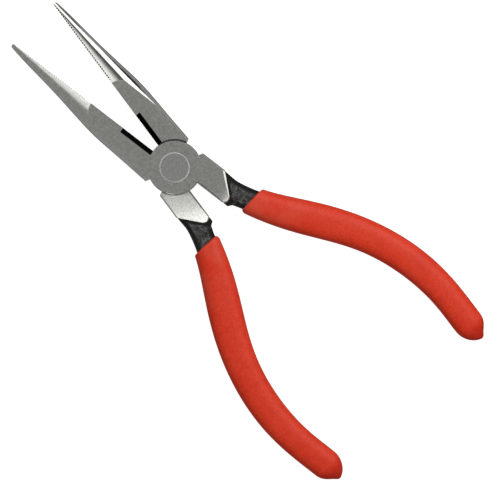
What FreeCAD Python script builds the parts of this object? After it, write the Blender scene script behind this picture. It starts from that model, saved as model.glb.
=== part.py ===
import FreeCAD, Part

"""Long-nose pliers with side cutters: a lap joint, a flush rivet and dipped grips.

Two forgings of one pattern lie half-lapped on a rivet. Each forging is a tapered half-round
nose, one blade of the side cutter, a disc of half the joint's thickness, a full-thickness
shank and a curved tang, and each tang is dipped in vinyl.

Working frame: the rivet's axis is Z, the lap plane is z = 0, and +Y runs along the closed
nose. A forging is drawn closed, with its nose on -X, its disc above the lap plane and its
handle on +X. The placements at the end open the pair and set it down on z = 0.
"""

import math
import os

import Sketcher
from FreeCAD import Placement, Rotation, Vector

# Driving dimensions, in millimetres and degrees: one cell of the sheet each.
DIMENSIONS = {
    # joint
    "joint_thickness": 10.0,
    "disc_radius": 10.0,
    "disc_gap": 0.2,            # between a disc and the pocket it turns in
    "disc_edge": 0.25,
    "lap_gap": 0.02,            # from the lap plane to each disc
    "rest_angle": 7.85,         # each half, from the closed line
    # rivet
    "rivet_radius": 3.5,
    "rivet_head": 5.6,
    "rivet_edge": 0.25,
    "rivet_clearance": 0.04,    # all round, in the half that turns on it
    # nose
    "nose_reach": 75.0,
    "nose_straight": 30.0,      # from here to the tip the outer side is straight
    "root_width": 10.5,
    "root_bulge": 1.57,         # how much narrower the nose is where it gets straight
    "bulge_lead": 0.9,          # how much of that bulge comes early
    "root_angle": 27.8,         # direction of the nose's shoulder from the rivet
    "tip_width": 1.5,
    "tip_thickness": 3.0,
    "tip_edge": 0.3,
    "taper_start": 38.7,        # where the flat top starts to fall to the tip
    "taper_crown": 48.0,        # crown radius of the falling top where it starts
    "tip_crown": 8.0,           # and at the tip
    "bevel_start": 23.0,        # where the long bevel leaves the outer side
    "bevel_width": 8.0,         # half width of the flat top there
    "bevel_run": 0.2667,        # narrowing of the flat top for each mm of reach
    "bevel_slope": 0.563,       # fall of the bevel for each mm outwards
    "side_edge": 0.95,          # where bevel and half-round side meet at the tip
    "side_run": 0.135,          # how that edge widens for each mm from the tip
    "side_lean": 0.35,          # lean of the blank's walls above that edge
    # gripping face
    "jaw_gap": 0.01,
    "relief": 0.42,
    "teeth_start": 40.0,
    "tooth_pitch": 1.0,
    "tooth_count": 34,
    "tooth_depth": 0.35,
    # side cutter
    "blade_start": 6.0,
    "blade_end": 22.2,
    "blade_bevel_end": 23.8,
    "blade_bevel": 1.75,
    # shank
    "shank_inner": 0.55,
    "shank_outer": 10.6,
    "shank_angle": 26.0,        # direction of the shank's shoulder from the rivet
    "shank_bulge": 0.6,         # crown of the outer side
    "shank_tip": 26.1,          # where the slanted end would meet the inner side
    "shank_heel": 15.1,         # where it meets the outer side
    "shank_round": 1.9,
    "shank_bevel": 0.8,
    "disc_roll": 190.0,         # radius in which the disc's side rolls off towards the slanted end
    "disc_roll_start": 9.0,
    "pocket_roll": 260.0,       # the same on the pocket's side, where it also falls outwards
    "pocket_roll_start": 3.0,
    "pocket_roll_angle": 35.0,
    # tang, handle stop and grip
    "tang_thickness": 7.2,
    "tang_corner": 2.6,
    "stop_gap": 0.6,            # from the closed line
    "stop_top": 22.3,
    "stop_bottom": 24.1,
    "stop_thickness": 6.0,
    "stop_root": 5.0,           # how far it reaches into the tang
    "stop_fall": 2.6,           # length of its sloping end
    "grip_wall": 1.2,
    "grip_thickness": 9.8,
    "grip_corner": 4.2,
    "grip_point": 8.0,          # length of the blunt cone that ends the grip
    "grip_nib": 0.1,            # how much of its width is left at the very end
    "mouth_reach": 28.35,       # where the dip line would cross x = 0
    "mouth_angle": 8.5,         # slant of the dip line
}

# The handle, closed: x and y of its centre line, and the steel's width across it.
HANDLE = [
    (5.5, -14.0, 9.85),
    (5.4, -20.0, 9.35),
    (6.65, -26.0, 8.4),
    (8.2, -32.0, 8.6),
    (15.15, -50.0, 10.4),
    (22.8, -70.0, 9.9),
    (25.65, -90.0, 9.5),
    (23.5, -110.0, 8.9),
    (20.95, -120.0, 8.8),
    (20.1, -128.2, 8.8),
]
GRIP_FROM = 2                   # the grip is drawn from this point and cut at its mouth
TANG_TO = 8                     # the steel ends square at this point, inside the grip

ROUNDEST = 0.45                 # the largest corner, as a share of a section's width or thickness

# The grip's end: how soon it widens, and how much less it thins than it narrows.
NIB_FULLNESS = 0.85
NIB_THINNING = 0.6

# The nose beside the joint: distance from the rivet, and how far its side rounds inwards.
ROOT_INSETS = ((0, 0.55), (12, 0.75), (21, 1.1))

# Cross-sections of each loft: close enough that the surface doesn't wave between them.
TANG_SECTIONS = 36
GRIP_SECTIONS = 24
POINT_SECTIONS = 6

BEYOND = 1.0                    # how far a cutting shape runs past what it cuts
REACH = 40.0                    # half length of the blocks that cut the tapers

doc = FreeCAD.newDocument("pliers")
sheet = doc.addObject("Spreadsheet::Sheet", "dims")
for row, (alias, value) in enumerate(DIMENSIONS.items(), start=1):
    sheet.set(f"A{row}", alias)
    sheet.set(f"B{row}", str(value))
    sheet.setAlias(f"B{row}", alias)
doc.recompute()


def dim(alias):
    """The value of one cell of the sheet."""
    return float(sheet.get(alias))


# ---------------------------------------------------------------- building blocks

def primitive(kind, name, **sizes):
    """A Part primitive whose sizes, and x, y and z of its placement, follow the sheet."""
    obj = doc.addObject(f"Part::{kind}", name)
    for key, expression in sizes.items():
        target = f"Placement.Base.{key}" if key in ("x", "y", "z") else key
        obj.setExpression(target, expression)
    return obj


def boolean(kind, name, base, tool):
    """A Part::Cut or Part::Common of two objects."""
    obj = doc.addObject(f"Part::{kind}", name)
    obj.Base = base
    obj.Tool = tool
    return obj


def fuse(name, *parts):
    obj = doc.addObject("Part::MultiFuse", name)
    obj.Shapes = list(parts)
    obj.Refine = True
    return obj


def solid(name, shape):
    """A document object that holds a shape worked out here from the sheet."""
    obj = doc.addObject("Part::Feature", name)
    obj.Shape = shape
    return obj


def origin_feature(body, role):
    return next(item for item in body.Origin.OriginFeatures if item.Role == role)


def outline_sketch(body, name, plane, corners):
    """A closed sketch of straight lines, each corner held by two expressions."""
    sketch = body.newObject("Sketcher::SketchObject", name)
    sketch.AttachmentSupport = (origin_feature(body, plane), "")
    sketch.MapMode = "FlatFace"
    count = len(corners)
    turn = 2 * math.pi / count
    start = [Vector(math.cos(turn * k), math.sin(turn * k), 0) for k in range(count)]
    for k in range(count):
        sketch.addGeometry(Part.LineSegment(start[k], start[(k + 1) % count]), False)
    for k in range(count):
        sketch.addConstraint(Sketcher.Constraint("Coincident", k, 2, (k + 1) % count, 1))
    for k, corner in enumerate(corners):
        for kind, expression, value in zip(("DistanceX", "DistanceY"), corner, start[k]):
            index = sketch.addConstraint(Sketcher.Constraint(kind, -1, 1, k, 1, value))
            sketch.setExpression(f"Constraints[{index}]", expression)
    return sketch


def pad(body, sketch, length):
    """A pad of a sketch to both sides of its plane."""
    feature = body.newObject("PartDesign::Pad", f"{sketch.Name}_pad")
    feature.Profile = sketch
    feature.SideType = "Symmetric"
    feature.setExpression("Length", length)
    return feature


def prism(name, plane, corners, length):
    """A body made of one pad."""
    body = doc.addObject("PartDesign::Body", name)
    sketch = outline_sketch(body, f"{name}_outline", plane, corners)
    body.Tip = pad(body, sketch, length)
    return body


def edges_where(feature, test):
    """Names of the feature's edges whose shape passes a test."""
    return [f"Edge{k}" for k, edge in enumerate(feature.Shape.Edges, 1) if test(edge)]


def is_level(edge, height):
    """True for an edge that lies in the plane z = height."""
    box = edge.BoundBox
    return abs(box.ZMin - height) < 1e-6 and abs(box.ZMax - height) < 1e-6


# ---------------------------------------------------------------- nose

def side_width(reach):
    """Half width of the nose at the lap plane, at a distance from the rivet."""
    straight = dim("nose_straight")
    bulge = dim("root_bulge")
    if reach < straight:
        inward = reach / straight
        return dim("root_width") - bulge * inward ** 2 * (1 + dim("bulge_lead") * (1 - inward))
    share = (dim("nose_reach") - reach) / (dim("nose_reach") - straight)
    return dim("tip_width") + (dim("root_width") - bulge - dim("tip_width")) * share


def bevel_height(reach, out):
    """Height of the long bevel's plane at a distance from the rivet and from the closed line."""
    flat = dim("bevel_width") - dim("bevel_run") * (reach - dim("bevel_start"))
    return dim("joint_thickness") / 2 - dim("bevel_slope") * (out - flat)


def nose_section(reach, edge, height):
    """One slice across the nose: straight walls over the edge lines, a round side between them."""
    top = dim("joint_thickness") / 2 + BEYOND
    rim = edge - dim("side_lean") * (top - height)
    upper = [
        Vector(BEYOND, reach, top),
        Vector(-rim, reach, top),
        Vector(-edge, reach, height),
    ]
    lower = [Vector(point.x, point.y, -point.z) for point in reversed(upper)]
    shapes = [Part.makeLine(a, b) for a, b in zip(upper, upper[1:])]
    shapes.append(Part.Arc(upper[-1], Vector(-side_width(reach), reach, 0), lower[0]).toShape())
    shapes += [Part.makeLine(a, b) for a, b in zip(lower, lower[1:])]
    shapes.append(Part.makeLine(lower[-1], upper[0]))
    return Part.Wire(shapes)


def nose_blank():
    """The half-round nose before its flats are ground, as a loft along the closed line."""
    half = dim("joint_thickness") / 2
    sections = []
    for reach, inset in ROOT_INSETS:
        sections.append(nose_section(reach, side_width(reach) - inset, half))
    for reach in (dim("nose_straight"), 45, 60, dim("nose_reach")):
        edge = dim("side_edge") + dim("side_run") * (dim("nose_reach") - reach)
        sections.append(nose_section(reach, edge, min(half, bevel_height(reach, edge))))
    return solid("nose_blank", Part.makeLoft(sections, True, False))


def nose_outline():
    """The nose in plan: the closed line, the shoulder at the joint and a blunt tip."""
    far = "2 * dims.root_width"
    corners = [
        ("-dims.jaw_gap", "0"),
        (f"-{far} * cos(dims.root_angle * 1 deg)", f"{far} * sin(dims.root_angle * 1 deg)"),
        (f"-{far}", "dims.nose_reach - dims.tip_edge"),
        ("-dims.tip_width", "dims.nose_reach - dims.tip_edge"),
        ("-dims.tip_width + dims.tip_edge", "dims.nose_reach"),
        ("-dims.jaw_gap - dims.tip_edge", "dims.nose_reach"),
        ("-dims.jaw_gap", "dims.nose_reach - dims.tip_edge"),
    ]
    return prism("nose_outline", "XY_Plane", corners, "dims.joint_thickness")


def crown_cone(name, side):
    """A cone whose skin is the falling, crowned top (side 1) or underside (side -1) of the nose.

    Its uppermost line runs from the flat top down to the tip, and its crown radius, the distance
    from the apex times the tangent of its half angle, shrinks towards the tip.
    """
    half = dim("joint_thickness") / 2
    run = dim("nose_reach") - dim("taper_start")
    fall = math.atan2(half - dim("tip_thickness") / 2, run)
    spread = math.atan2(dim("taper_crown") - dim("tip_crown"), run / math.cos(fall))
    start = Vector(0, dim("taper_start"), side * half)
    downhill = Vector(0, math.cos(fall), -side * math.sin(fall))
    outward = Vector(0, math.sin(fall), side * math.cos(fall))
    apex = start + downhill * (dim("taper_crown") / math.tan(spread))
    axis = downhill * math.cos(spread) + outward * math.sin(spread)
    length = 2 * REACH
    drop = "(dims.joint_thickness - dims.tip_thickness) / 2"
    skin = f"sqrt((dims.nose_reach - dims.taper_start)^2 + ({drop})^2)"
    base = f"{length} * (dims.taper_crown - dims.tip_crown) / {skin}"
    cone = primitive("Cone", name, Radius1=base)
    cone.Radius2 = 0
    cone.Height = length
    cone.Placement = Placement(apex - axis * length, Rotation(Vector(0, 0, 1), axis))
    return cone


def bevel_block(name, side):
    """The block over the long flat bevel between the top and the half-round side."""
    slope = dim("bevel_slope")
    normal = Vector(-slope, slope * dim("bevel_run"), side)
    turn = Rotation(Vector(0, 1, 0), Vector(), normal, "ZXY")
    block = primitive("Box", name)
    block.Length = 4 * REACH
    block.Width = 2 * REACH
    block.Height = REACH
    touch = Vector(-dim("bevel_width"), dim("bevel_start"), side * dim("joint_thickness") / 2)
    block.Placement = Placement(touch + turn.multVec(Vector(-2 * REACH, -REACH, 0)), turn)
    return block


def blade_cutter():
    """What is ground off both sides of the cutter, so that a knife edge is left at the lap plane."""
    high = f"(dims.joint_thickness / 2 + {BEYOND})"
    foot = f"-dims.jaw_gap - dims.blade_bevel * {high} / (dims.joint_thickness / 2)"
    corners = [
        (f"{BEYOND}", f"-{high}"),
        (foot, f"-{high}"),
        ("-dims.jaw_gap", "0"),
        (foot, high),
        (f"{BEYOND}", high),
    ]
    cutter = prism("blade_cutter", "XZ_Plane", corners, "dims.blade_bevel_end - dims.blade_start")
    cutter.setExpression("Placement.Base.y", "(dims.blade_bevel_end + dims.blade_start) / 2")
    return cutter


def face_cutter():
    """The relief beyond the cutter and the grooves between the teeth, as one cutting tool."""
    thickness = f"dims.joint_thickness + {2 * BEYOND}"
    groove_end = "dims.teeth_start + dims.tooth_pitch"
    body = doc.addObject("PartDesign::Body", "face_cutter")
    strip = outline_sketch(body, "relief_strip", "XY_Plane", [
        (f"{BEYOND}", "dims.blade_end"),
        ("-dims.relief", "dims.blade_end"),
        ("-0.7 * dims.relief", "dims.teeth_start"),
        ("-dims.jaw_gap", "dims.teeth_start"),
        ("-dims.jaw_gap", "dims.teeth_start + dims.tooth_pitch * dims.tooth_count"),
        (f"{BEYOND}", "dims.teeth_start + dims.tooth_pitch * dims.tooth_count"),
    ])
    pad(body, strip, thickness)
    groove = outline_sketch(body, "tooth_groove", "XY_Plane", [
        (f"{BEYOND / 2}", "dims.teeth_start"),
        ("-dims.jaw_gap", "dims.teeth_start"),
        ("-dims.jaw_gap - dims.tooth_depth", "dims.teeth_start + dims.tooth_pitch / 2"),
        ("-dims.jaw_gap", groove_end),
        (f"{BEYOND / 2}", groove_end),
    ])
    first = pad(body, groove, thickness)
    row = body.newObject("PartDesign::LinearPattern", "tooth_row")
    row.Originals = [first]
    row.Direction = (origin_feature(body, "Y_Axis"), [""])
    row.setExpression("Length", "dims.tooth_pitch * (dims.tooth_count - 1)")
    row.setExpression("Occurrences", "dims.tooth_count")
    body.Tip = row
    return body


def make_nose():
    nose = boolean("Common", "nose_in_outline", nose_blank(), nose_outline())
    for side, face in ((1, "top"), (-1, "under")):
        nose = boolean("Common", f"nose_{face}_taper", nose, crown_cone(f"{face}_crown", side))
        nose = boolean("Cut", f"nose_{face}_bevel", nose, bevel_block(f"{face}_bevel", side))
    nose = boolean("Cut", "nose_with_blade", nose, blade_cutter())
    return boolean("Cut", "nose", nose, face_cutter())


# ---------------------------------------------------------------- shank, tang and stop

def roll_cylinder(face, side, angle):
    """A very large level cylinder whose skin is a shank face that rolls off towards the tang.

    It touches the face's plane at its start and falls away from the nose, turned outwards by angle.
    """
    start = Vector(0, -dim(f"{face}_roll_start"), side * dim("joint_thickness") / 2)
    turn = Rotation(Vector(0, 0, 1), angle) * Rotation(Vector(0, 1, 0), 90)
    length = 4 * REACH
    cylinder = primitive("Cylinder", f"{face}_roll", Radius=f"dims.{face}_roll")
    cylinder.Height = length
    below = Vector(0, 0, side * dim(f"{face}_roll"))
    centre = start - below - turn.multVec(Vector(0, 0, length / 2))
    cylinder.Placement = Placement(centre, turn)
    return cylinder


def make_shank():
    """The ground block behind the joint: a slanted, bevelled end and a crowned outer side."""
    half = dim("joint_thickness") / 2
    body = doc.addObject("PartDesign::Body", "shank_plan")
    far = "2 * dims.shank_outer"
    plan = outline_sketch(body, "shank_outline", "XY_Plane", [
        ("dims.shank_inner", "0"),
        ("dims.shank_inner", "-dims.shank_tip"),
        ("dims.shank_outer", "-dims.shank_heel"),
        (f"{far} * cos(dims.shank_angle * 1 deg)", f"-{far} * sin(dims.shank_angle * 1 deg)"),
    ])
    block = pad(body, plan, "dims.joint_thickness")
    doc.recompute()

    tip = Vector(dim("shank_inner"), -dim("shank_tip"), 0)
    rounded = body.newObject("PartDesign::Fillet", "shank_tip_round")
    rounded.Base = (block, edges_where(block, lambda e: e.CenterOfMass.isEqual(tip, 1e-4)))
    rounded.setExpression("Radius", "dims.shank_round")
    doc.recompute()

    def on_end(edge):
        """An edge of the top or underside along the slanted end or its round tip."""
        middle = edge.CenterOfMass
        level = is_level(edge, half) or is_level(edge, -half)
        slant = (dim("shank_outer") - dim("shank_inner")) / (dim("shank_tip") - dim("shank_heel"))
        past = middle.y + dim("shank_tip") - (middle.x - dim("shank_inner")) / slant
        return level and past < dim("shank_round") and middle.x > dim("shank_inner") + 1e-3

    bevel = body.newObject("PartDesign::Chamfer", "shank_end_bevel")
    bevel.Base = (rounded, edges_where(rounded, on_end))
    bevel.setExpression("Size", "dims.shank_bevel")
    body.Tip = bevel

    crown = "((dims.joint_thickness / 2)^2 + dims.shank_bulge^2) / (2 * dims.shank_bulge)"
    side = primitive("Cylinder", "shank_side", Radius=crown, x=f"dims.shank_outer - {crown}")
    side.Height = 2 * REACH
    side.Placement.Rotation = Rotation(Vector(1, 0, 0), 90)
    shank = boolean("Common", "shank_crowned", body, side)
    shank = boolean("Common", "shank_top_ground", shank, roll_cylinder("disc", 1, 0))
    pocket_roll = roll_cylinder("pocket", -1, dim("pocket_roll_angle"))
    return boolean("Common", "shank", shank, pocket_roll)


def cross_section(centre, along, width, thickness, corner):
    """A rounded rectangle across the handle."""
    across = Vector(-along.y, along.x, 0)
    corner = min(corner, ROUNDEST * width, ROUNDEST * thickness)
    arcs = []
    for u, v in ((1, 1), (-1, 1), (-1, -1), (1, -1)):
        hub = centre + across * (u * (width / 2 - corner)) + Vector(0, 0, v * (thickness / 2 - corner))
        beside = hub + across * (u * corner)
        above = hub + Vector(0, 0, v * corner)
        middle = hub + (across * u + Vector(0, 0, v)) * (corner * math.sqrt(0.5))
        arcs.append((beside, middle, above) if u == v else (above, middle, beside))
    shapes = []
    for k, arc in enumerate(arcs):
        shapes.append(Part.Arc(*arc).toShape())
        shapes.append(Part.makeLine(arc[2], arcs[(k + 1) % 4][0]))
    return Part.Wire(shapes)


def handle_curve():
    """The handle's centre line as a curve whose height is the steel's width there."""
    curve = Part.BSplineCurve()
    curve.interpolate(Points=[Vector(*point) for point in HANDLE], Scale=False,
                      InitialTangent=Vector(0, -1, 0), FinalTangent=Vector(-0.06, -1, 0))
    return curve


def loft_along(curve, places, size, corner):
    """A solid through sections square to the curve; size gives each one's width and thickness."""
    wires = []
    for place_on_curve in places:
        point = curve.value(place_on_curve)
        tangent = curve.tangent(place_on_curve)[0]
        centre = Vector(point.x, point.y, 0)
        along = Vector(tangent.x, tangent.y, 0).normalize()
        wires.append(cross_section(centre, along, *size(point), corner))
    return Part.makeLoft(wires, True, False)


def evenly(first, last, count):
    return [first + (last - first) * k / count for k in range(count + 1)]


def make_tang():
    curve = handle_curve()
    start, end = (curve.parameter(Vector(*HANDLE[k])) for k in (0, TANG_TO))
    thickness = dim("tang_thickness")
    places = evenly(start, end, TANG_SECTIONS)
    shape = loft_along(curve, places, lambda point: (point.z, thickness), dim("tang_corner"))
    return solid("tang", shape)


def make_stop():
    """The nub inside the tang that meets its twin before the handles can pinch."""
    corners = [
        ("dims.stop_gap", "-dims.stop_top"),
        ("dims.stop_gap", "-dims.stop_bottom"),
        ("dims.stop_gap + 0.1 * dims.stop_root", "-dims.stop_bottom - 0.15 * dims.stop_fall"),
        ("dims.stop_gap + 0.65 * dims.stop_root", "-dims.stop_bottom - dims.stop_fall"),
        ("dims.stop_gap + dims.stop_root", "-dims.stop_bottom - dims.stop_fall"),
        ("dims.stop_gap + dims.stop_root", "-dims.stop_top"),
    ]
    return prism("stop", "XY_Plane", corners, "dims.stop_thickness")


def grip_size(point):
    """Width and thickness of the grip at a point: the steel's plus the wall, to a blunt cone."""
    end = Vector(*HANDLE[-1])
    share = min(1.0, math.hypot(point.x - end.x, point.y - end.y) / dim("grip_point"))
    narrowing = max(dim("grip_nib"), math.sin(math.pi / 2 * share ** NIB_FULLNESS))
    thinning = narrowing ** NIB_THINNING
    return (point.z + 2 * dim("grip_wall")) * narrowing, dim("grip_thickness") * thinning


def make_grip(tang):
    """The dipped sleeve: the tang grown by the wall, cut at the dip line, hollowed by the tang."""
    curve = handle_curve()
    start, end = (curve.parameter(Vector(*HANDLE[k])) for k in (GRIP_FROM, -1))
    neck = end - dim("grip_point")
    places = evenly(start, neck, GRIP_SECTIONS)[:-1] + evenly(neck, end, POINT_SECTIONS)
    outer = solid("grip_blank", loft_along(curve, places, grip_size, dim("grip_corner")))
    above = primitive("Box", "above_mouth")
    above.Length = 2 * REACH
    above.Width = REACH
    above.Height = REACH
    turn = Rotation(Vector(0, 0, 1), -dim("mouth_angle"))
    corner = turn.multVec(Vector(-REACH, 0, -REACH / 2))
    above.Placement = Placement(corner + Vector(0, -dim("mouth_reach"), 0), turn)
    return boolean("Cut", "grip", boolean("Cut", "grip_from_mouth", outer, above), tang)


# ---------------------------------------------------------------- joint

def make_disc():
    """The half-thickness disc above the lap plane, with its free rim broken."""
    disc = primitive("Cylinder", "disc_blank", Radius="dims.disc_radius",
                     Height="dims.joint_thickness / 2 - dims.lap_gap", z="dims.lap_gap")
    doc.recompute()
    top = dim("joint_thickness") / 2
    edge = dim("disc_edge")
    broken = doc.addObject("Part::Chamfer", "disc")
    broken.Base = disc
    rim = next(k for k, item in enumerate(disc.Shape.Edges, 1) if is_level(item, top))
    broken.Edges = [(rim, edge, edge)]
    return broken


def rivet_bore(name, clearance):
    """The hole for the rivet and the seat for its head, grown by a clearance."""
    half = "dims.joint_thickness / 2"
    seat = f"{half} - dims.rivet_edge"
    cone = "(dims.rivet_head - dims.rivet_radius)"
    hole = primitive("Cylinder", f"{name}_hole", Radius=f"dims.rivet_radius + {clearance}",
                     Height=f"dims.joint_thickness + {2 * BEYOND}", z=f"-{half} - {BEYOND}")
    sink = primitive("Cone", f"{name}_sink", Radius1=f"dims.rivet_radius + {clearance}",
                     Radius2=f"dims.rivet_head + {clearance}", Height=cone, z=f"{seat} - {cone}")
    mouth = primitive("Cylinder", f"{name}_mouth", Radius=f"dims.rivet_head + {clearance}",
                      Height=f"dims.rivet_edge + {BEYOND}", z=seat)
    return fuse(name, hole, sink, mouth)


def make_rivet():
    """A pin with a flush countersunk head at each end, turned about its axis."""
    half = "dims.joint_thickness / 2"
    neck = f"({half} - dims.rivet_edge - dims.rivet_head + dims.rivet_radius)"
    upper = [
        ("dims.rivet_radius", neck),
        ("dims.rivet_head", f"{half} - dims.rivet_edge"),
        ("dims.rivet_head - dims.rivet_edge", half),
        ("0", half),
    ]
    lower = [(x, f"-({y})") for x, y in reversed(upper)]
    body = doc.addObject("PartDesign::Body", "pivot_rivet")
    profile = outline_sketch(body, "rivet_profile", "XZ_Plane", lower + upper)
    turned = body.newObject("PartDesign::Revolution", "rivet_turned")
    turned.Profile = profile
    turned.ReferenceAxis = (profile, ["V_Axis"])
    turned.Angle = 360
    body.Tip = turned
    return body


def make_forging():
    """Everything that is one piece of steel, before the hole for the rivet."""
    tang = make_tang()
    blank = fuse("forging_blank", make_nose(), make_shank(), tang, make_stop())
    pocket = primitive("Cylinder", "lap_pocket", Radius="dims.disc_radius + dims.disc_gap",
                       Height=f"dims.joint_thickness / 2 + dims.lap_gap + {BEYOND}",
                       z=f"-dims.joint_thickness / 2 - {BEYOND}")
    pocketed = boolean("Cut", "forging_pocketed", blank, pocket)
    return fuse("forging", pocketed, make_disc()), tang


# ---------------------------------------------------------------- assembly

def place(obj, label, placement):
    """Gives a sub-part its label and its place in the assembly."""
    obj.Label = label
    obj.Placement = placement
    return obj


def check(objects):
    """Stops if any object failed, or if a sub-part is not one valid solid."""
    for obj in doc.Objects:
        if {"Invalid", "Error"} & set(obj.State):
            raise RuntimeError(f"{obj.Name} failed: {obj.State}")
    for obj in objects:
        shape = obj.Shape
        if shape.isNull() or not shape.isValid() or len(shape.Solids) != 1:
            raise RuntimeError(f"{obj.Label} is not one valid solid")


def main():
    forging, tang = make_forging()
    grip = make_grip(tang)
    rivet = make_rivet()
    front = boolean("Cut", "front_forging", forging, rivet_bore("rivet_seat", "0"))
    back = boolean("Cut", "back_forging", forging, rivet_bore("rivet_bore", "dims.rivet_clearance"))
    doc.recompute()

    lift = Placement(Vector(0, 0, dim("joint_thickness") / 2), Rotation())
    opened = Placement(Vector(), Rotation(Vector(0, 0, 1), dim("rest_angle")))
    turned_over = Placement(Vector(), Rotation(Vector(0, 1, 0), 180))
    front_place = lift * opened
    back_place = lift * opened.inverse() * turned_over
    parts = [
        place(front, "front_half", front_place),
        place(back, "back_half", back_place),
        place(rivet, "pivot_rivet", lift),
        place(solid("second_grip", grip.Shape.copy()), "back_grip", back_place),
        place(grip, "front_grip", front_place),
    ]
    doc.recompute()
    check(parts)
    os.makedirs("parts", exist_ok=True)
    for part in parts:
        part.Shape.exportStep(f"parts/{part.Label}.step")


main()
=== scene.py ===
"""The looks of a pair of long-nose pliers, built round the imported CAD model.

The two forgings and the rivet are the CAD meshes with steel materials of their own. The dipped grips are
new sleeve meshes that are measured off the CAD grips, so that they fit the tangs exactly. Everything is in
metres, in the CAD model's frame: +Z up along the rivet, +Y towards the jaw tips.
"""

import math

import bmesh
import bpy
import numpy as np
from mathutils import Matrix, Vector
from mathutils.bvhtree import BVHTree


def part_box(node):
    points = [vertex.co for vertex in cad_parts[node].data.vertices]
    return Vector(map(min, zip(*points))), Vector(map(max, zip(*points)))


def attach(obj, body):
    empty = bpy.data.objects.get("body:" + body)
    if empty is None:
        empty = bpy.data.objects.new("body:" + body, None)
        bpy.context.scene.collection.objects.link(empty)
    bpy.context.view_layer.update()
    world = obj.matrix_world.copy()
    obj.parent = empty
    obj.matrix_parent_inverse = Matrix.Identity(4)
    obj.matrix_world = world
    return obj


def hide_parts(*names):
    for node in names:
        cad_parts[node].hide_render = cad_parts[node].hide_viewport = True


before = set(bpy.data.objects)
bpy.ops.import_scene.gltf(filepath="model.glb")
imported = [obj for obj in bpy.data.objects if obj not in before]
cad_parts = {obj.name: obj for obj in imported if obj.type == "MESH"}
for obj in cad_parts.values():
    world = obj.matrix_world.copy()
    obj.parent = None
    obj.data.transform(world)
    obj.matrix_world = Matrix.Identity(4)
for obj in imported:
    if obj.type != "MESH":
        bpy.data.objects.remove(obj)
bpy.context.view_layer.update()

MM = 0.001
BEVEL_SAMPLES = 6
WHITE = (1.0, 1.0, 1.0, 1.0)

# How each half of the tool lies at rest: its angle about the rivet, in degrees, and whether it is the half
# that is turned over. Both follow from the CAD model's placements.
REST_ANGLE = 7.85
HALVES = {"front": (REST_ANGLE, False), "back": (-REST_ANGLE, True)}


# ---------------------------------------------------------------- node trees

def feed(slot, value):
    """Gives a node's input a Flow, another node's output or a plain value."""
    if isinstance(value, Flow):
        slot.id_data.links.new(value.socket, slot)
    elif isinstance(value, bpy.types.NodeSocket):
        slot.id_data.links.new(value, slot)
    else:
        slot.default_value = value


class Flow:
    """A value in a node tree. Arithmetic on it adds Math nodes, so that formulas stay readable."""

    def __init__(self, tree, socket):
        self.tree = tree
        self.socket = socket

    def math(self, operation, *inputs):
        node = self.tree.nodes.new("ShaderNodeMath")
        node.operation = operation
        for slot, value in zip(node.inputs, (self, *inputs)):
            feed(slot, value)
        return Flow(self.tree, node.outputs[0])

    def __add__(self, other):
        return self.math("ADD", other)

    def __sub__(self, other):
        return self.math("SUBTRACT", other)

    def __mul__(self, other):
        return self.math("MULTIPLY", other)

    def __truediv__(self, other):
        return self.math("DIVIDE", other)

    def __neg__(self):
        return self * -1.0

    def __rsub__(self, other):
        return -self + other

    def at_most(self, other):
        return self.math("MINIMUM", other)

    def at_least(self, other):
        return self.math("MAXIMUM", other)

    def size(self):
        return self.math("ABSOLUTE")

    def step(self, start, end):
        """0 before start and 1 past end, with a smooth rise between them."""
        node = self.tree.nodes.new("ShaderNodeMapRange")
        node.interpolation_type = "SMOOTHSTEP"
        feed(node.inputs["Value"], self)
        low, high, rising = (start, end, True) if start < end else (end, start, False)
        node.inputs["From Min"].default_value = low
        node.inputs["From Max"].default_value = high
        node.inputs["To Min"].default_value = 0.0 if rising else 1.0
        node.inputs["To Max"].default_value = 1.0 if rising else 0.0
        return Flow(self.tree, node.outputs["Result"])

    def band(self, start, full, fading, end):
        """1 from full to fading, and 0 before start and past end."""
        return self.step(start, full) * self.step(end, fading)


def mix(share, low, high):
    """low where share is 0 and high where it is 1."""
    return share * (high - low) + low


def hypot(x, y):
    """How far (x, y) is from the origin."""
    return (x * x + y * y).math("SQRT")


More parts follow.
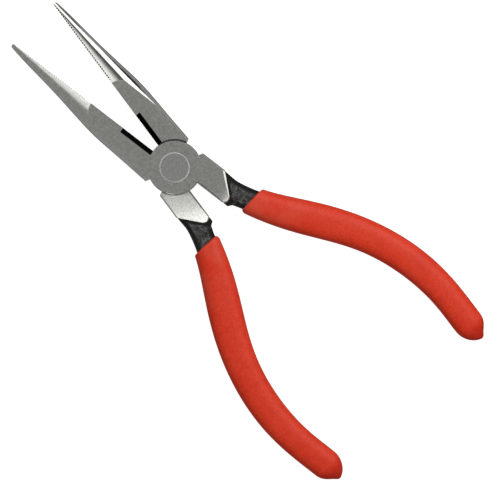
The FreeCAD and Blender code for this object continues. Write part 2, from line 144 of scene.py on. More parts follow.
class Shader:
    """The node tree of a material or world, with short ways to add to it."""

    def __init__(self, owner):
        owner.use_nodes = True
        self.tree = owner.node_tree
        self.tree.nodes.clear()

    def node(self, kind, **settings):
        node = self.tree.nodes.new(f"ShaderNode{kind}")
        for key, value in settings.items():
            setattr(node, key, value)
        return node

    def plug(self, node, **inputs):
        """Sets inputs by name, with underscores for spaces, to numbers, sockets or Flows."""
        for key, value in inputs.items():
            feed(node.inputs[key.replace("_", " ")], value)
        return node

    def shader(self, kind, **inputs):
        """The output of a new shader node whose inputs are set by name."""
        return self.plug(self.node(kind), **inputs).outputs[0]

    def split(self, vector):
        node = self.node("SeparateXYZ")
        feed(node.inputs[0], vector)
        return [Flow(self.tree, out) for out in node.outputs]

    def join(self, *parts):
        node = self.node("CombineXYZ")
        for slot, part in zip(node.inputs, parts):
            feed(slot, part)
        return node.outputs[0]

    def rest_place(self):
        """x, y and z in the rest frame, in mm."""
        return [value * (1 / MM) for value in self.split(self.node("TexCoord").outputs["Object"])]

    def noise(self, vector, scale, detail=3.0, rough=0.55):
        node = self.node("TexNoise")
        self.plug(node, Vector=vector, Scale=scale, Detail=detail, Roughness=rough)
        return Flow(self.tree, node.outputs["Fac"])

    def colour(self, share, *stops):
        """A colour ramp: each stop is (place, (r, g, b)) in linear light."""
        node = self.node("ValToRGB")
        ramp = node.color_ramp
        while len(ramp.elements) < len(stops):
            ramp.elements.new(0.5)
        for element, (place, value) in zip(ramp.elements, stops):
            element.position = place
            element.color = (*value, 1.0)
        feed(node.inputs["Fac"], share)
        return node.outputs["Color"]

    def blend(self, share, low, high):
        """A mix of two colours."""
        node = self.node("Mix", data_type="RGBA")
        feed(node.inputs[0], share)
        for slot, value in ((node.inputs[6], low), (node.inputs[7], high)):
            feed(slot, (*value, 1.0) if isinstance(value, tuple) else value)
        return node.outputs[2]

    def choose(self, share, low, high):
        """A mix of two shaders."""
        node = self.node("MixShader")
        for slot, value in zip(node.inputs, (share, low, high)):
            feed(slot, value)
        return node.outputs[0]

    def bevel(self, radius):
        """The normal, rounded off along edges."""
        return self.plug(self.node("Bevel", samples=BEVEL_SAMPLES), Radius=radius).outputs[0]

    def bump(self, height, depth, normal=None):
        """The normal of a relief of a certain depth, on top of another normal."""
        node = self.plug(self.node("Bump"), Height=height, Distance=depth, Strength=1.0)
        if normal is not None:
            self.plug(node, Normal=normal)
        return node.outputs["Normal"]

    def finish(self, surface, output="OutputMaterial"):
        self.plug(self.node(output), Surface=surface)


def new_material(name):
    material = bpy.data.materials.new(name)
    return material, Shader(material)


# ---------------------------------------------------------------- steel

def box_in_mm(node):
    """Lowest and highest corners of a CAD node."""
    return [[value / MM for value in corner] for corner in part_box(node)]


HALF_LOW, HALF_HIGH = box_in_mm("front_half")
RIVET_RADIUS = box_in_mm("pivot_rivet")[1][0]

# Lines of a forging's plan, closed about the rivet, with its nose on -X and its shank on +X, in mm. A pair
# of close values is where something starts to show and where it shows in full.
LAP_PLANE = (HALF_LOW[2] + HALF_HIGH[2]) / 2  # height of the plane in which the halves meet
DISC_RADIUS = 10.0
POCKET_SHADE = (10.05, 10.12, 10.36, 10.50)  # radii of the painted shade in the pocket's gap
SHANK_TIP = (0.55, -26.1)            # where the slanted end meets the inner side
SHANK_SLANT = (0.6745, 0.7383)       # direction of the slanted end, towards the heel
TIP_CENTRE = (2.45, -21.2)           # of the round between the two
TIP_RADIUS = 1.9
CUTTER = (5.0, 23.9)                 # reach of the side cutter's bevels
CUTTER_SLOPE = 0.35                  # their run for each mm of height
CUTTER_MARGIN = 0.12                 # how far behind them their black reaches
CUTTER_SIDE = (0.4, 0.3)             # x up to which there can be a bevel
TEETH = (40.0, 74.0)                 # reach of the row of teeth, which are 1 mm apart
CREST_EDGE = (-0.62, -0.50)          # x at which the painted shade on their crests starts
CREST_FLANK = (0.16, 0.30)           # how far from the root between two teeth it starts
# how much painted shade the crests get, on each half
CREST_SHADE = {"front": 0.04, "back": 1.0}
CROWN_EDGE = (3.9, 40.0, 0.1018)     # width of the crown at a y, and what it loses for each mm
CROWN_LEAST = 0.3                    # its least width
CROWN_SLOPE = (0.020, 0.060)         # its sideways slope at the middle, and what it gains to the edge
CROWN_FALL = 0.090                   # its slope towards the tip
CROWN_START = (37.0, 38.5)           # y at which it starts
RIVET_RIM = (RIVET_RADIUS - 0.44, RIVET_RADIUS - 0.32)  # where the rivet's rim, painted pale grey as a highlight, starts

# Widths over which the shading rounds off edges, and depths of the relief in it.
GROUND_EDGE = 0.14 * MM
RIVET_EDGE = 0.06 * MM
BLACK_EDGE = 1.1 * MM                # of the tang, whose flats alone get a painted sheen
GROUND_RELIEF = 0.0025 * MM
RIVET_RELIEF = 0.006 * MM
HARD_RELIEF = 0.02 * MM
SCALE_RELIEF = 0.16 * MM

# the colour of the painted shade on the teeth and in the pocket
PAINTED_SHADE_COLOUR = (0.012, 0.012, 0.011)
# the painted highlight on the rivet's rim
RIM_HIGHLIGHT_GREY = (0.54, 0.57, 0.56, 1.0)


def turned(x, y, degrees):
    """(x, y) after a turn about the rivet."""
    c, k = math.cos(math.radians(degrees)), math.sin(math.radians(degrees))
    return x * c - y * k, x * k + y * c


def plan_coordinates(s, half):
    """x, y and height above the lap plane, in mm, in the closed plan of the forging of one half."""
    angle, turned_over = HALVES[half]
    x, y, z = s.rest_place()
    x, y = turned(x, y, -angle)
    z = z - LAP_PLANE
    return (-x, y, -z) if turned_over else (x, y, z)


def tang_mask(x, y):
    """1 on the black tang and stop, 0 on the ground head; and how far the tang is past the head, in mm."""
    tip_x, tip_y = SHANK_TIP
    slant_x, slant_y = SHANK_SLANT
    past_end = (x - tip_x) * slant_y - (y - tip_y) * slant_x
    from_x, from_y = x - TIP_CENTRE[0], y - TIP_CENTRE[1]
    beyond_round = hypot(from_x, from_y).step(TIP_RADIUS + 0.03, TIP_RADIUS + 0.06)
    below = from_y.step(0.0, -0.1)
    outside = (from_x * slant_x + from_y * slant_y).step(0.0, -0.1)
    return past_end.step(0.02, 0.05).at_least(beyond_round * below * outside), past_end


def cutter_mask(x, y, z):
    """1 on the hardened bevels of the side cutter, which are painted near black as shade."""
    in_reach = y.band(CUTTER[0], CUTTER[0] + 0.1, CUTTER[1] - 0.1, CUTTER[1])
    on_bevel = (x + z.size() * CUTTER_SLOPE + CUTTER_MARGIN).step(-0.02, 0.02)
    clear_of_disc = hypot(x, y).step(DISC_RADIUS + 0.02, DISC_RADIUS + 0.08)
    return in_reach * on_bevel * x.step(*CUTTER_SIDE) * clear_of_disc


def tooth_shade_mask(x, y):
    """1 on the crests of the teeth, which are painted dark as shade."""
    in_row = y.band(TEETH[0], TEETH[0] + 0.05, TEETH[1] - 0.05, TEETH[1])
    off_root = ((y - TEETH[0]).math("FRACT") - 0.5).size()
    return in_row * off_root.step(*CREST_FLANK) * x.step(*CREST_EDGE)


def pocket_shade_mask(x, y, z):
    """1 along the pocket's gap, where shade is painted dark, and less on the shank's side of it."""
    below_lap = z.step(-0.2, -0.5)
    nose_side = y.step(-4.0, 2.0)
    return hypot(x, y).band(*POCKET_SHADE) * below_lap * mix(nose_side, 0.45, 1.0)


def crown_normal(s, half, x, y, z, geometry):
    """The normal, with that of the true cone on the crown of the nose in place of its facets'."""
    angle, turned_over = HALVES[half]
    side = z.math("SIGN")
    edge = CROWN_EDGE[0] - (y - CROWN_EDGE[1]) * CROWN_EDGE[2]
    lean = (x.size() / edge.at_least(CROWN_LEAST)).at_most(1.0) * CROWN_SLOPE[1] + CROWN_SLOPE[0]
    across, up = (lean, -side) if turned_over else (-lean, side)
    leaning = s.join(*turned(across, CROWN_FALL, angle), up)
    to_world = s.node("VectorTransform", vector_type="NORMAL", convert_from="OBJECT", convert_to="WORLD")
    feed(to_world.inputs[0], leaning)
    to_object = s.node("VectorTransform", vector_type="NORMAL", convert_from="WORLD", convert_to="OBJECT")
    feed(to_object.inputs[0], s.node("NewGeometry").outputs["True Normal"])
    _, facet_y, facet_z = s.split(to_object.outputs[0])
    falls = facet_y.step(0.03, 0.05)
    lies_flat = facet_z.size().step(0.97, 0.985)
    choice = s.node("Mix", data_type="VECTOR")
    feed(choice.inputs[0], y.step(*CROWN_START) * falls * lies_flat)
    feed(choice.inputs[4], geometry)
    feed(choice.inputs[5], to_world.outputs[0])
    unit = s.node("VectorMath", operation="NORMALIZE")
    feed(unit.inputs[0], choice.outputs[1])
    return unit.outputs[0]


def ground_shader(s, half, x, y, z, scratches, edged):
    """Belt-ground steel, with painted shade on the teeth's crests and in the pocket's gap."""
    place = s.join(x, y, z)
    mottle = s.noise(place, 0.9, 4.0)
    pits = s.noise(place, 4.5, 3.0, 0.6)
    grit = s.noise(place, 1.7, 2.0, 0.6)
    colour = s.colour(
        mottle * 0.35 + scratches * 0.25 + grit * 0.4,
        (0.36, (0.51, 0.515, 0.475)),
        (0.50, (0.655, 0.66, 0.62)),
        (0.64, (0.80, 0.805, 0.77)),
    )
    # painted shade: dark on the teeth's crests and in the pocket's gap
    painted_shade = (tooth_shade_mask(x, y) * CREST_SHADE[half]).at_least(pocket_shade_mask(x, y, z))
    grain = mottle * 0.5 + scratches * 0.35 + pits * 0.15
    return s.shader(
        "BsdfPrincipled",
        Base_Color=s.blend(painted_shade, colour, PAINTED_SHADE_COLOUR),
        Metallic=1.0,
        Roughness=mix(scratches, 0.05, 0.09),
        Normal=s.bump(grain, GROUND_RELIEF, crown_normal(s, half, x, y, z, edged)),
    )


def tang_shader(s, x, y, z, past_head, edged):
    """Black oxide on a speckled scale, with a painted grey sheen on the flats that face up and painted
    shade on the rounded edges.
    """
    place = s.join(x, y, z)
    scale = s.noise(place, 0.55, 6.0, 0.65)
    specks = s.noise(place, 2.4, 4.0, 0.75)
    # painted sheen: paler where the surface faces up, less of it just past the head; the rounded edges
    # stay dark as painted shade
    flat = s.split(s.bevel(BLACK_EDGE))[2].size().step(0.70, 0.995)
    sheen_share = flat * mix(past_head.step(0.2, 1.4), 0.6, 1.0)
    colour = s.colour(
        (scale + specks) * 0.5 * sheen_share,
        (0.25, (0.001, 0.001, 0.001)),
        (0.42, (0.009, 0.009, 0.009)),
        (0.50, (0.043, 0.044, 0.044)),
        (0.60, (0.165, 0.170, 0.170)),
    )
    return s.shader(
        "BsdfPrincipled",
        Base_Color=colour,
        Metallic=0.35,
        Roughness=mix(specks, 0.34, 0.62),
        Normal=s.bump(scale * 0.7 + specks * 0.3, SCALE_RELIEF, edged),
    )


def cutter_shader(s, scratches):
    """The hardened steel of the side cutter's bevels, painted near black as the shade they lie in."""
    colour = s.colour(
        scratches,
        (0.30, (0.002, 0.002, 0.002)),
        (0.60, (0.004, 0.004, 0.003)),
        (0.85, (0.030, 0.030, 0.026)),
    )
    return s.shader("BsdfDiffuse", Color=colour, Normal=s.bump(scratches, HARD_RELIEF))


def steel_material(half):
    """A forging: ground head, black tang, and bevels on the side cutter painted near black as shade."""
    material, s = new_material(f"steel_{half}")
    x, y, z = plan_coordinates(s, half)
    along_belt = s.join(x * 2.2, y * 0.28, z * 2.2)
    scratches = s.noise(along_belt, 1.6, 6.0, 0.7)
    edged = s.bevel(GROUND_EDGE)
    ground = ground_shader(s, half, x, y, z, scratches, edged)
    # the side cutter's bevels get painted shade, near black
    head = s.choose(cutter_mask(x, y, z), ground, cutter_shader(s, scratches))
    tang, past_head = tang_mask(x, y)
    s.finish(s.choose(tang, head, tang_shader(s, x, y, z, past_head, edged)))
    return material


def rivet_material():
    """The same steel, ground in circles, with a rim painted pale grey as a highlight."""
    material, s = new_material("steel_rivet")
    x, y, z = s.rest_place()
    radius = hypot(x, y)
    rings = s.noise(s.join(radius, z, 0.0), 5.0, 5.0, 0.7)
    mottle = s.noise(s.join(x, y, z), 1.4, 4.0)
    colour = s.colour(
        mottle * 0.6 + rings * 0.4,
        (0.38, (0.55, 0.555, 0.52)),
        (0.50, (0.65, 0.655, 0.62)),
        (0.62, (0.75, 0.755, 0.72)),
    )
    steel = s.shader(
        "BsdfPrincipled",
        Base_Color=colour,
        Metallic=1.0,
        Roughness=mix(rings, 0.07, 0.11),
        Normal=s.bump((mottle + rings) * 0.5, RIVET_RELIEF, s.bevel(RIVET_EDGE)),
    )
    # painted highlight: a pale grey diffuse rim
    rim_highlight = s.shader("BsdfDiffuse", Color=RIM_HIGHLIGHT_GREY, Roughness=0.4)
    s.finish(s.choose(radius.step(*RIVET_RIM), steel, rim_highlight))
    return material


# ---------------------------------------------------------------- grips

GRIP_LOW, GRIP_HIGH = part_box("front_grip")

VINYL = (0.665, 0.047, 0.018)
VINYL_DEEP = (0.590, 0.030, 0.009)
VINYL_END_SHADE = (0.470, 0.014, 0.006)  # painted shade on the cone of the blunt end
VINYL_ENDS = (GRIP_LOW[1] + 7.8 * MM, GRIP_LOW[1] + 2.8 * MM)  # y at which that starts
VINYL_RUBBED = (0.580, 0.078, 0.044)  # where it is rubbed paler
VINYL_MOUTHS = (GRIP_HIGH[1] - 25.9 * MM, GRIP_HIGH[1] - 3.9 * MM)  # y at which that starts
VINYL_RELIEF = 0.055 * MM

# The shape of a sleeve.
SECTION_POWER = 2.7                  # of the superellipse that is its section
CAP_ANGLE = math.radians(44)         # between the end's cone and the sleeve's axis
CAP_HEIGHT = 1.05                    # of that cone, for each mm of its half width
NIB = 1.2 * MM                       # radius of the round that the cone ends in
SHOULDER = 3.8 * MM                  # how softly the cone joins the body of the grip
LIP = 0.55 * MM                      # how far back the rolled edge at the mouth starts
LIP_SQUARENESS = 0.8
WEDGE_CUT = 1.3 * MM                 # how much of the mouth's sharp inner corner is rounded away
WEDGE_SOFTNESS = 2.4 * MM
BORE_GAP = 0.01 * MM                 # between the tang and the sleeve

# Its mesh.
AROUND = 96                          # points round the sleeve
ALONG = 150                          # rings along its skin
END_CROWDING = 1.3                   # draws those together at the blunt end
LIP_STEPS = 10
BORE_STEPS = 60

# How it is measured off the CAD solids.
FACES_JAWS = 0.9                     # least y of the normal of its cut face
UPRIGHT = 0.02                       # most z of that
MOUTH_DEPTH = 6 * MM                 # how far below the sleeve's top that face can reach
END_FACE = 0.25 * MM                 # depth of the small face that ends the sleeve
BELOW_MOUTH = 5 * MM                 # where the sleeve has both its edges
MEASURE_STEP = 1.5 * MM              # between stations
FAR = 14 * MM                        # more than half the sleeve's width
CENTRINGS = 3                        # rounds of finding the middle at a station
SETTLING = 2                         # stations before the heading is right
SPARE_STATIONS = 99                  # more than the sleeve has room for
ABOVE_STATIONS = 7                   # measured on the tang, up past the mouth
CAP = 9 * MM                         # the blunt end, where the half width isn't measured
CURVE_DEGREE = 8
WIDTH_DEGREE = 8
START_RANGE = (-10 * MM, 16 * MM)    # where along the sleeve the mouth's plane can cut it
HALVINGS = 24                        # of a length, to find a place along the sleeve


def vinyl_material():
    """Dipped vinyl: satin, faintly mottled, with a fine orange-peel skin."""
    material, s = new_material("vinyl")
    place = s.node("TexCoord").outputs["Object"]
    cloud = s.noise(place, 90.0, 3.0)
    mottle = s.noise(place, 420.0, 4.0)
    skin = s.noise(place, 1600.0, 3.0, 0.6)
    pores = s.noise(place, 5200.0, 2.0, 0.6)
    shade = cloud * 0.24 + mottle * 0.20 + skin * 0.56
    colour = s.blend(shade.step(0.42, 0.58), VINYL_DEEP, VINYL)
    y = s.split(place)[1]
    # painted shade: darker on the cone of the blunt end
    end_shade = y.step(*VINYL_ENDS) * 0.5
    colour = s.blend(end_shade, colour, VINYL_END_SHADE)
    rubbed = y.step(*VINYL_MOUTHS) * cloud.step(0.30, 0.65) * 0.5
    colour = s.blend(rubbed, colour, VINYL_RUBBED)
    s.finish(s.shader(
        "BsdfPrincipled",
        Base_Color=colour,
        Roughness=mix(mottle, 0.46, 0.62),
        Specular_IOR_Level=0.12,
        Normal=s.bump(skin * 0.6 + pores * 0.4, VINYL_RELIEF),
    ))
    return material


def soft_least(a, b, blend):
    """The lesser of two lengths, rounded off where they cross."""
    h = max(blend - abs(a - b), 0.0) / blend
    return min(a, b) - h * h * blend / 4


def soft_most(a, b, blend):
    """The greater of two lengths, rounded off where they cross."""
    return -soft_least(-a, -b, blend)


def crossing(holds, low, high):
    """The place between low and high up to which something holds."""
    for _ in range(HALVINGS):
        middle = (low + high) / 2
        low, high = (middle, high) if holds(middle) else (low, middle)
    return (low + high) / 2


def surface_of(mesh):
    return BVHTree.FromPolygons([v.co for v in mesh.vertices], [p.vertices for p in mesh.polygons])


class Sleeve:
    """One dipped grip, measured off its CAD solid and rebuilt as a smooth hollow sleeve."""

    def __init__(self, half):
        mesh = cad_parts[f"{half}_grip"].data
        self.points = np.array([v.co for v in mesh.vertices])
        self.skin = surface_of(mesh)
        self.steel = surface_of(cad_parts[f"{half}_half"].data)
        self.level = float(self.points[:, 2].max() + self.points[:, 2].min()) / 2
        self.half_thickness = float(np.ptp(self.points[:, 2])) / 2
        self.find_mouth(mesh)
        self.measure()
        self.turn_x = self.fit_x.deriv()
        self.turn_y = self.fit_y.deriv()

    def find_mouth(self, mesh):
        """The plane in which the sleeve is cut: the upright faces that look towards the jaws."""
        lowest = self.points[:, 1].max() - MOUTH_DEPTH
        found = [
            p for p in mesh.polygons
            if p.normal.y > FACES_JAWS and abs(p.normal.z) < UPRIGHT and p.center.y > lowest
        ]
        weight = sum(p.area for p in found)
        self.mouth = sum((p.center * p.area for p in found), Vector()) / weight
        self.mouth_normal = sum((p.normal * p.area for p in found), Vector()).normalized()

    def blunt_end(self):
        """The middle of the small face that ends the sleeve."""
        lowest = self.points[:, 1].min()
        face = self.points[self.points[:, 1] < lowest + END_FACE]
        low, high = face.min(0), face.max(0)
        return Vector((low + high) / 2)

    def edges(self, surface, centre, heading):
        """The middle and half width of a surface on the level line square to a heading."""
        across = Vector((-heading.y, heading.x, 0))
        left, right = (
            surface.ray_cast(centre + across * (side * FAR), across * -side, FAR)[0]
            for side in (1, -1)
        )
        if left is None or right is None:
            return None
        return (left + right) / 2, (left - right).length / 2

    def walk(self, surface, centre, heading, steps):
        """Middles and half widths at even steps along a surface, for as long as both edges are found."""
        found = []
        for _ in range(steps):
            for _ in range(CENTRINGS):
                hit = self.edges(surface, centre, heading)
                if hit is None:
                    return found
                centre = hit[0]
                if found:
                    heading = (centre - found[-1][0]).normalized()
            found.append(hit)
            centre = centre + heading * MEASURE_STEP
        return found

    def measure(self):
        """Smooth curves for the axis and half width, with the distance from the mouth as parameter.

        Below the mouth they follow the sleeve. At the mouth, where the sleeve is cut on a slant, they
        follow the tang, with the sleeve's wall added.
        """
        middle = Vector((self.mouth.x, self.mouth.y, self.level))
        start = middle - self.mouth_normal * BELOW_MOUTH
        down = self.walk(self.skin, start, -self.mouth_normal, SPARE_STATIONS)[SETTLING:]
        heading = (down[1][0] - down[0][0]).normalized()
        up = self.walk(self.steel, down[0][0], -heading, ABOVE_STATIONS)
        wall = down[0][1] - up[0][1]
        stations = [(point, width + wall) for point, width in up[:0:-1]] + down
        centres = np.array([point for point, _ in stations])
        widths = np.array([width for _, width in stations])
        run = np.concatenate([[0], np.cumsum(np.linalg.norm(np.diff(centres, axis=0), axis=1))])
        end = self.blunt_end()
        self.length = float(run[-1] + (end - Vector(centres[-1])).length)
        body = run < self.length - CAP
        self.body_end = float(run[body][-1])
        fit = np.polynomial.Polynomial.fit
        run_to_end = np.append(run[body], self.length)
        self.fit_x = fit(run_to_end, np.append(centres[body, 0], end.x), CURVE_DEGREE)
        self.fit_y = fit(run_to_end, np.append(centres[body, 1], end.y), CURVE_DEGREE)
        self.fit_width = fit(run[body], widths[body], WIDTH_DEGREE)

    def axis(self, run):
        """Centre and level direction across, at a distance along the sleeve."""
        centre = Vector((self.fit_x(run), self.fit_y(run), self.level))
        return centre, Vector((-self.turn_y(run), self.turn_x(run), 0)).normalized()

    def radius(self, run, angle):
        """Distance from the axis to the outer skin, in a direction round the section."""
        width = float(self.fit_width(min(run, self.body_end)))
        left = max(self.length - run, 0.0)
        nib_depth = NIB * (1 - math.sin(CAP_ANGLE))
        if left < nib_depth:
            cone = math.sqrt(NIB ** 2 - (NIB - left) ** 2)
        else:
            cone = NIB * math.cos(CAP_ANGLE) + (left - nib_depth) * math.tan(CAP_ANGLE)
        half_width = soft_least(width, cone, SHOULDER)
        half_height = soft_least(self.half_thickness, cone * CAP_HEIGHT, SHOULDER)
        c, k = abs(math.cos(angle)) / half_width, abs(math.sin(angle)) / half_height
        power = SECTION_POWER
        return (c ** power + k ** power) ** (-1 / power)

    def spoke(self, run, angle):
        """A place on the axis, and the way out from it in a direction round the section."""
        centre, across = self.axis(run)
        return centre, across * math.cos(angle) + Vector((0, 0, math.sin(angle)))

    def at(self, run, angle, distance):
        """The point at a distance from the axis."""
        centre, out = self.spoke(run, angle)
        return centre + out * distance

    def bore(self, run, angle):
        """Distance from the axis to just clear of the tang's surface."""
        distance = self.steel.ray_cast(*self.spoke(run, angle), FAR)[3]
        return (distance or 0.0) + BORE_GAP

    def start(self, angle, reach):
        """How far along the sleeve the mouth's plane cuts a surface, given by its reach from the axis."""
        def outside(run):
            return (self.at(run, angle, reach(run, angle)) - self.mouth).dot(self.mouth_normal) > 0

        return crossing(outside, *START_RANGE)

    def tang_end(self):
        """How far along the sleeve its tang reaches."""
        return crossing(lambda run: self.is_steel(*self.axis(run)), self.length / 2, self.length)

    def is_steel(self, point, across):
        """True inside the tang: both ways across, its surface is met from within."""
        for side in (1, -1):
            _, normal, _, distance = self.steel.ray_cast(point, across * side, FAR)
            if distance is None or normal.dot(across * side) < 0:
                return False
        return True


def grip_rings(sleeve):
    """Rings of points from the blunt end over the skin and the rolled lip to the end of the bore."""
    angles = [2 * math.pi * (k + 0.5) / AROUND for k in range(AROUND)]
    skin_start = [sleeve.start(angle, sleeve.radius) for angle in angles]
    bore_start = [sleeve.start(angle, sleeve.bore) for angle in angles]
    foremost = min(skin_start) + WEDGE_CUT
    skin_start = [soft_most(value, foremost, WEDGE_SOFTNESS) for value in skin_start]
    tang_end = sleeve.tang_end()
    bore_end = tang_end + BORE_GAP

    def on_skin(share, angle, skin, _):
        front = skin + LIP
        run = sleeve.length + (front - sleeve.length) * share ** END_CROWDING
        return sleeve.at(run, angle, sleeve.radius(run, angle))

    def on_lip(share, angle, skin, bore):
        turn = math.pi * share
        out = (1 + math.cos(turn)) / 2
        run = bore + (skin - bore) * out + LIP * (1 - math.sin(turn) ** LIP_SQUARENESS)
        inner, outer = sleeve.bore(run, angle), sleeve.radius(run, angle)
        return sleeve.at(run, angle, inner + (outer - inner) * out)

    def in_bore(share, angle, _, bore):
        front = bore + LIP
        run = front + (bore_end - front) * share
        return sleeve.at(run, angle, sleeve.bore(min(run, tang_end - 2 * BORE_GAP), angle))

    zones = (
        (on_skin, [step / ALONG for step in range(1, ALONG + 1)]),
        (on_lip, [step / LIP_STEPS for step in range(1, LIP_STEPS)]),
        (in_bore, [step / BORE_STEPS for step in range(BORE_STEPS + 1)]),
    )
    spokes = list(zip(angles, skin_start, bore_start))
    rings = [[point(share, *spoke) for spoke in spokes] for point, shares in zones for share in shares]
    return rings, sleeve.axis(sleeve.length)[0], sleeve.axis(bore_end)[0]


def make_grip(half, material):
    """A dipped sleeve in place of a CAD grip."""
    rings, tip, bore_middle = grip_rings(Sleeve(half))
    bm = bmesh.new()
    tip_vertex = bm.verts.new(tip)
    loops = [[bm.verts.new(point) for point in ring] for ring in rings]
    last_vertex = bm.verts.new(bore_middle)
    for k in range(AROUND):
        following = (k + 1) % AROUND
        bm.faces.new((tip_vertex, loops[0][following], loops[0][k]))
        for near, far in zip(loops, loops[1:]):
            bm.faces.new((near[k], near[following], far[following], far[k]))
        bm.faces.new((loops[-1][k], loops[-1][following], last_vertex))
    bmesh.ops.recalc_face_normals(bm, faces=bm.faces)
    for face in bm.faces:
        face.smooth = True
    mesh = bpy.data.meshes.new(f"{half}_sleeve")
    bm.to_mesh(mesh)
    bm.free()
    mesh.materials.append(material)
    grip = bpy.data.objects.new(f"{half}_sleeve", mesh)
    bpy.context.scene.collection.objects.link(grip)
    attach(grip, f"{half}_lever")
    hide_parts(f"{half}_grip")
    return grip


# ---------------------------------------------------------------- studio

PICTURE_WIDTH = 182.9 * MM           # what the camera sees across
PICTURE_CENTRE = (-0.75 * MM, -39.5 * MM)
PICTURE_TURN = -44.55                # degrees, about the line of sight
SEEN_LEVEL = 7 * MM                  # the height at which it sees that width
LENS = 300.0
SENSOR = 36.0
CLIP = (0.1, 10)                     # nearest and furthest, in shares of the camera's distance
FLOOR_LEVEL = -0.05 * MM
FLOOR_RADIUS = 3.0
FLOOR_PAPER = (0.35, 0.35, 0.35, 1.0)
FLOOR_GLOW = 0.93
AMBIENT = 0.46
AMBIENT_COLOUR = (1.0, 0.92, 0.88, 1.0)
BACKGROUND = 1.05                    # what the camera sees past the floor
KEY_PLACE = (0.48, 0.06, 0.64)
KEY_SIZE = 0.45
KEY_POWER = 4.3
HIGHLIGHT_POWER = 8.5

# What the tool mirrors, as brightnesses: the floor, the room and the panels that hang in it.
# FLOOR_NEAR is the mirrored floor close to the tool, dimmed as a painted shadow
FLOOR_NEAR, FLOOR_FAR, FLOOR_DARK = 0.13, 0.32, 0.04
ROOM_GREY, ROOM_PALE, ROOM_DARK = 0.305, 0.62, 0.05
PANEL_PALE, PANEL_BRIGHT, STRIP_BRIGHT = 0.80, 1.70, 1.75
CROWN_LEFT, CROWN_MIDDLE, CROWN_RIGHT = 0.90, 1.30, 0.10


def make_camera():
    data = bpy.data.cameras.new("camera")
    data.lens = LENS
    data.sensor_width = SENSOR
    distance = PICTURE_WIDTH * LENS / SENSOR
    data.clip_start, data.clip_end = (distance * share for share in CLIP)
    camera = bpy.data.objects.new("camera", data)
    camera.location = (*PICTURE_CENTRE, SEEN_LEVEL + distance)
    camera.rotation_euler = (0, 0, math.radians(PICTURE_TURN))
    bpy.context.scene.collection.objects.link(camera)
    bpy.context.scene.camera = camera


def make_floor():
    """A plain floor that glows white to the camera, and that the tool itself mirrors as a dark grey, with
    a painted shadow close to the tool.
    """
    material, s = new_material("floor")
    lit = s.node("AddShader")
    feed(lit.inputs[0], s.shader("BsdfDiffuse", Color=FLOOR_PAPER))
    feed(lit.inputs[1], s.shader("Emission", Color=WHITE, Strength=FLOOR_GLOW))
    path = s.node("LightPath")
    length = Flow(s.tree, path.outputs["Ray Length"]) * (1 / MM)
    back_x, back_y, _ = s.split(s.node("NewGeometry").outputs["Incoming"])
    # painted shadow: the mirrored floor is darker close to the tool
    off_contact, far_off = length.step(4.0, 12.0), length.step(26.0, 44.0)
    dark_side = back_x.step(0.1, -0.1).at_least(back_y.step(0.0, 0.1))
    seen = mix(far_off * dark_side, mix(off_contact, FLOOR_NEAR, FLOOR_FAR), FLOOR_DARK)
    mirrored = s.shader("Emission", Color=WHITE, Strength=seen)
    s.finish(s.choose(path.outputs["Is Camera Ray"], mirrored, lit.outputs[0]))
    mesh = bpy.data.meshes.new("floor")
    bm = bmesh.new()
    bmesh.ops.create_circle(bm, cap_ends=True, segments=96, radius=FLOOR_RADIUS)
    bm.to_mesh(mesh)
    bm.free()
    mesh.materials.append(material)
    floor = bpy.data.objects.new("floor", mesh)
    floor.location.z = FLOOR_LEVEL
    bpy.context.scene.collection.objects.link(floor)


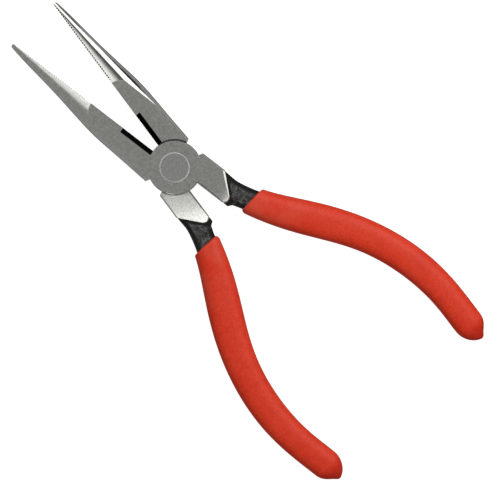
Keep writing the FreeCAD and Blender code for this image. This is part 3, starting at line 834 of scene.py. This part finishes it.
def make_world():
    """Soft white light all round, and for reflections a studio of pale panels.

    A reflection is looked up by the slope of the level-lying surface that would show it to an eye
    straight above: u towards +X and v towards +Y.
    """
    world = bpy.data.worlds.new("studio")
    bpy.context.scene.world = world
    s = Shader(world)
    x, y, z = s.split(s.node("TexCoord").outputs["Generated"])
    over = (z + 1.0).at_least(0.02)
    u, v = x / over, y / over
    reach = hypot(u, v)

    # the room: grey overhead and along X, paler along Y, and dark low down towards +X and -Y
    along_y = v.size().step(0.13, 0.40)
    low_down = reach.step(0.90, 0.98)
    dark_side = u.step(0.0, 0.1).at_least(v.step(0.0, -0.06))
    level = mix(low_down * dark_side, mix(along_y, ROOM_GREY, ROOM_PALE), ROOM_DARK)

    # for tops that fall towards the handles: bright when steep, and sooner if they also fall towards -X
    falling = v.step(-0.004, -0.018) * reach.step(0.125, 0.095)
    level = mix(falling * u.step(-0.008, -0.018), level, PANEL_PALE)
    level = mix(falling * u.step(-0.034, -0.046), level, PANEL_BRIGHT)
    level = mix(falling * v.step(-0.045, -0.085), level, PANEL_BRIGHT)

    # for the crowns, which fall towards the tips: a panel with a sharp edge on -X that darkens towards +X
    shade = mix(u.step(-0.070, -0.030), CROWN_LEFT, CROWN_MIDDLE)
    shade = mix(u.step(0.050, 0.084), shade, CROWN_RIGHT)
    panel = v.band(0.045, 0.075, 0.15, 0.22) * u.band(-0.0765, -0.0720, 0.15, 0.22)
    level = mix(panel, level, shade)

    # for the long bevel that faces +X, and for the slanted ends of the ground shanks
    bevel_strip = u.band(0.40, 0.50, 0.66, 0.78) * v.size().step(0.30, 0.18)
    level = mix(bevel_strip, level, STRIP_BRIGHT)
    shank_strips = u.size().band(0.64, 0.74, 0.9, 1.0) * v.band(-0.40, -0.48, -0.66, -0.74)
    level = mix(shank_strips, level, STRIP_BRIGHT)

    soft = s.shader("Background", Color=AMBIENT_COLOUR, Strength=AMBIENT)
    room = s.shader("Background", Color=WHITE, Strength=level)
    behind = s.shader("Background", Color=WHITE, Strength=BACKGROUND)
    path = s.node("LightPath")
    lighting = s.choose(path.outputs["Is Glossy Ray"], soft, room)
    s.finish(s.choose(path.outputs["Is Camera Ray"], lighting, behind), "OutputWorld")


def make_light(name, power):
    """A broad soft light above the tool, to the upper right in the picture."""
    data = bpy.data.lights.new(name, "AREA")
    data.shape = "DISK"
    data.size = KEY_SIZE
    data.energy = power
    light = bpy.data.objects.new(name, data)
    light.location = KEY_PLACE
    light.rotation_euler = (-Vector(KEY_PLACE)).to_track_quat("-Z", "Y").to_euler()
    bpy.context.scene.collection.objects.link(light)
    return light


def make_lights(grips):
    """The key light, and its highlight, which only the grips show."""
    make_light("key", KEY_POWER).visible_glossy = False
    highlight = make_light("highlight", HIGHLIGHT_POWER)
    highlight.visible_diffuse = False
    receivers = bpy.data.collections.new("grips")
    for grip in grips:
        receivers.objects.link(grip)
    highlight.light_linking.receiver_collection = receivers


# ---------------------------------------------------------------- main

def dress(node, material):
    """Gives a CAD mesh its material."""
    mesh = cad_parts[node].data
    mesh.materials.clear()
    mesh.materials.append(material)


vinyl = vinyl_material()
for half in HALVES:
    dress(f"{half}_half", steel_material(half))
grips = [make_grip(half, vinyl) for half in HALVES]
dress("pivot_rivet", rivet_material())
make_floor()
make_world()
make_lights(grips)
make_camera()
bpy.context.scene.view_settings.view_transform = "Standard"

bpy.context.view_layer.update()
